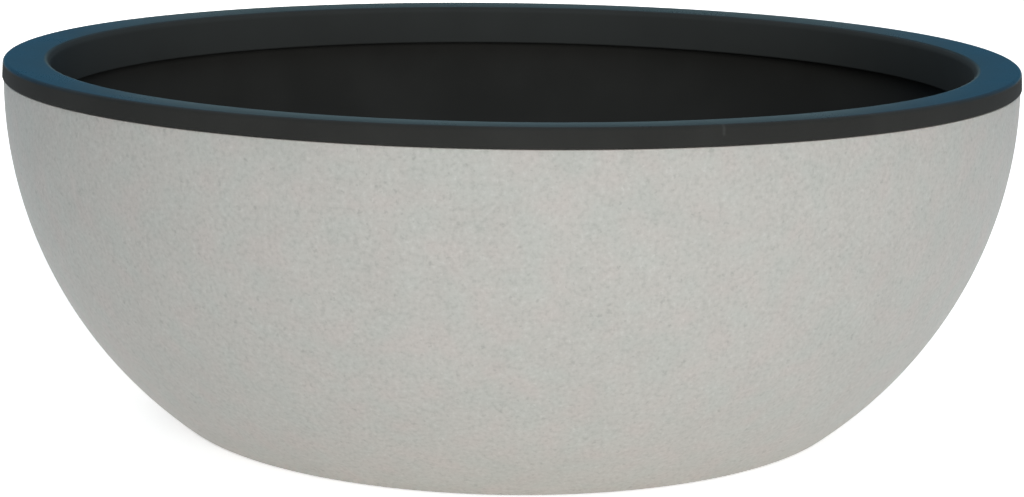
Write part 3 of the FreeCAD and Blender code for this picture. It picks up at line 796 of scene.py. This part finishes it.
grip_section = section(
    (-grip_half_width, grip_bottom, soft_edge), (grip_half_width, grip_bottom, soft_edge),
    (grip_half_width, grip_top, soft_edge), (-grip_half_width, grip_top, soft_edge))
grip_middle = np.broadcast_to(grip_section.mean(axis=0), grip_section.shape)
grip_grid = np.stack([
    np.column_stack([np.full(len(side), reach), side])
    for reach, side in ((-grip_reach, grip_middle), (-grip_reach, grip_section),
                        (grip_reach, grip_section), (grip_reach, grip_middle))], axis=1)
drain_plug = new_piece(
    "drain_plug_body",
    [skin(turned(plug_profile, even_turn(96))), skin(grip_grid, closed_along=False)], liner_plastic)
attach(drain_plug, "plug")
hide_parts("drain_plug")

# Ring seals: two moulded rubber rings, one in the groove of the tube's stem and one in the plug's. They are
# dull black, with a faint bloom.
seal_radius = 13.5 * mm
seal_section = 1.4 * mm
seal_black = (0.012, 0.012, 0.012, 1.0)
seal_bloom = (0.030, 0.030, 0.031, 1.0)

seal_rubber, seal_shader, seal_place = new_finish("seal_rubber", Specular_IOR_Level=0.25)
seal_cloud = seal_place.noise(240.0, 3.0)
seal_cloud.ramp(0.35, 0.75).blend(seal_black, seal_bloom).feed(seal_shader, "Base Color")
(0.70 + 0.15 * seal_cloud).feed(seal_shader, "Roughness")
seal_place.noise(1800.0, 2.0).bump(0.06, 0.3 * mm).feed(seal_shader, "Normal")

for name, level, body, node in (("tube_ring", tube_groove, "overflow", "tube_seal"),
                                ("plug_ring", plug_groove, "plug", "plug_seal")):
    ring_section = arc(seal_radius, level, seal_section, 0.0, 345.0, 24)
    seal = new_piece(name, [skin(turned(ring_section, even_turn(96)))], seal_rubber)
    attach(seal, body)
    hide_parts(node)

# Studio: a wide white floor that runs out of view, a sky that is grey in front and blue behind, and three
# soft lamps: in front to the right, behind to the left, and one lying on the floor that stands for the light
# the floor throws back. The middle of the sky behind has a patch that is pale low down and dark above.
floor_radius = 20.0
floor_level = -0.3 * mm
floor_white = (0.93, 0.93, 0.93, 1.0)
floor_lift = 0.63
sky_front_low = (0.15, 0.15, 0.15, 1.0)
sky_behind_low = (0.08, 0.29, 0.44, 1.0)
sky_behind_blue = (0.03, 0.23, 0.43, 1.0)
sky_behind_mid = (0.04, 0.25, 0.46, 1.0)
sky_high = (0.51, 0.58, 0.63, 1.0)
haze_pale = (0.56, 0.86, 0.97, 1.0)
haze_dark = (0.03, 0.08, 0.10, 1.0)
# Where each part of the sky begins and is full, as sines of the angle back, aside and up.
behind_from, behind_full = 0.1, 0.8
patch_side, patch_full = 0.20, 0.13
patch_top, patch_dense = 0.60, 0.30
patch_dark, patch_pale = 0.14, 0.08
lamp_white = (1.0, 0.98, 0.96)
lamp_warm = (1.0, 0.85, 0.72)

floor_finish, floor_shader, floor_place = new_finish(
    "studio_floor", Base_Color=floor_white, Specular_IOR_Level=0.0, Roughness=1.0)
floor_tree = floor_finish.node_tree
# The floor is lifted to white for the rays that show it, and seen through from below.
floor_ray = Shade(floor_tree, floor_tree.nodes.new("ShaderNodeLightPath").outputs["Is Camera Ray"])
floor_mirrored = floor_ray.math(
    "MAXIMUM", floor_ray.other("Is Glossy Ray"), floor_ray.other("Is Transmission Ray"))
floor_seen = floor_ray.math("MAXIMUM", floor_ray, floor_mirrored)
floor_lit = Shade(floor_tree, floor_shader.outputs[0])
floor_glow = floor_ray.node("ShaderNodeEmission", {}, {"Strength": floor_lift})
floor_bright = floor_ray.node("ShaderNodeAddShader", {}, {0: floor_lit, 1: floor_glow})
floor_top = floor_ray.node("ShaderNodeMixShader", {}, {0: floor_seen, 1: floor_lit, 2: floor_bright})
floor_below = floor_ray.node("ShaderNodeNewGeometry", {}, {}, "Backfacing")
floor_clear = floor_ray.node("ShaderNodeBsdfTransparent", {}, {})
floor_mixed = floor_ray.node("ShaderNodeMixShader", {}, {0: floor_below, 1: floor_top, 2: floor_clear})
floor_mixed.feed(floor_tree.nodes["Material Output"], "Surface")
floor_reach = np.array([floor_radius, 5.0, 1.5, 0.5, 0.0])
floor_rings = np.column_stack([floor_reach, np.full(len(floor_reach), floor_level)])
floor_shell = skin(turned(floor_rings, even_turn(96)), closed_along=False)
floor = new_piece("studio_floor", [floor_shell], floor_finish)

world = bpy.data.worlds.new("studio_sky")
bpy.context.scene.world = world
world.use_nodes = True
sky = Shade(world.node_tree, world.node_tree.nodes.new("ShaderNodeTexCoord").outputs["Generated"])
sky_side = sky.node("ShaderNodeSeparateXYZ", {}, {"Vector": sky}, "X")
sky_height = sky_side.other("Z")
sky_behind = sky_side.other("Y").ramp(behind_from, behind_full)
sky_centre = sky.math("ABSOLUTE", sky_side).ramp(patch_side, patch_full)
sky_haze = sky_centre * sky_behind * sky_height.ramp(patch_top, patch_dense)
front_stops = [(0.0, sky_front_low), (0.40, sky_front_low), (0.75, sky_high)]
behind_stops = [(0.0, sky_behind_low), (0.10, sky_behind_blue), (0.38, sky_behind_mid), (0.75, sky_high)]
sky_front = sky.node("ShaderNodeValToRGB", {"stops": front_stops}, {"Fac": sky_height})
sky_back = sky.node("ShaderNodeValToRGB", {"stops": behind_stops}, {"Fac": sky_height})
sky_patch = sky_height.ramp(patch_dark, patch_pale).blend(haze_dark, haze_pale)
sky_colour = sky_haze.blend(sky_behind.blend(sky_front, sky_back), sky_patch)
sky_colour.feed(world.node_tree.nodes["Background"], "Color")


def placed(across, upward, backward, place):
    """The matrix of an object at a place, with its three axes as given."""
    axes = np.column_stack([across, upward, backward, place])
    return Matrix(np.vstack([axes, (0.0, 0.0, 0.0, 1.0)]).tolist())


def soft_lamp(name, place, aim, size, power, colour, glossy=True):
    """A round area lamp at a place, turned towards a point, seen or not in glossy surfaces."""
    lamp = bpy.data.lights.new(name, "AREA")
    lamp.color = colour
    lamp.shape = "DISK"
    lamp.size = size
    lamp.energy = power
    holder = bpy.data.objects.new(name, lamp)
    away = (np.array(place) - aim) / np.linalg.norm(np.array(place) - aim)
    across = np.cross((0.0, 1.0, 0.2), away)
    across = across / np.linalg.norm(across)
    holder.matrix_world = placed(across, np.cross(away, across), away, place)
    holder.visible_camera = False
    holder.visible_glossy = glossy
    bpy.context.scene.collection.objects.link(holder)


pot_middle = (0.0, 0.0, 0.10)
soft_lamp("front_lamp", (0.60, -2.7, 0.72), pot_middle, 1.3, 37.0, lamp_white, glossy=False)
soft_lamp("back_lamp", (-0.7, 2.6, 1.1), pot_middle, 1.6, 25.0, lamp_warm, glossy=False)
soft_lamp("floor_lamp", (0.0, 0.0, 0.5 * mm), (0.0, 0.0, 1.0), 3.0, 5.6, lamp_white)

# Camera: 1.39 m in front of the pot's middle and 0.17 m above its rim, looking down 11.7 degrees. The turns
# are in radians.
camera_place = (0.0, -1.3866, 0.3795)
camera_yaw = 0.0009
camera_pitch = 0.2042
camera_roll = -0.0137
lens_mm = 81.44
sensor_mm = 36.0
level_ahead = np.array([math.sin(camera_yaw), math.cos(camera_yaw), 0.0])
ahead = math.cos(camera_pitch) * level_ahead - math.sin(camera_pitch) * np.array([0.0, 0.0, 1.0])
level_right = np.array([math.cos(camera_yaw), -math.sin(camera_yaw), 0.0])
level_down = np.cross(ahead, level_right)
right = math.cos(camera_roll) * level_right + math.sin(camera_roll) * level_down
down = -math.sin(camera_roll) * level_right + math.cos(camera_roll) * level_down
camera = bpy.data.cameras.new("front_camera")
camera.sensor_fit = "HORIZONTAL"
camera.sensor_width = sensor_mm
camera.lens = lens_mm
camera.clip_end = 100.0
viewer = bpy.data.objects.new("front_camera", camera)
viewer.matrix_world = placed(right, -down, -ahead, camera_place)
bpy.context.scene.collection.objects.link(viewer)
bpy.context.scene.camera = viewer
bpy.context.scene.view_settings.view_transform = "Standard"
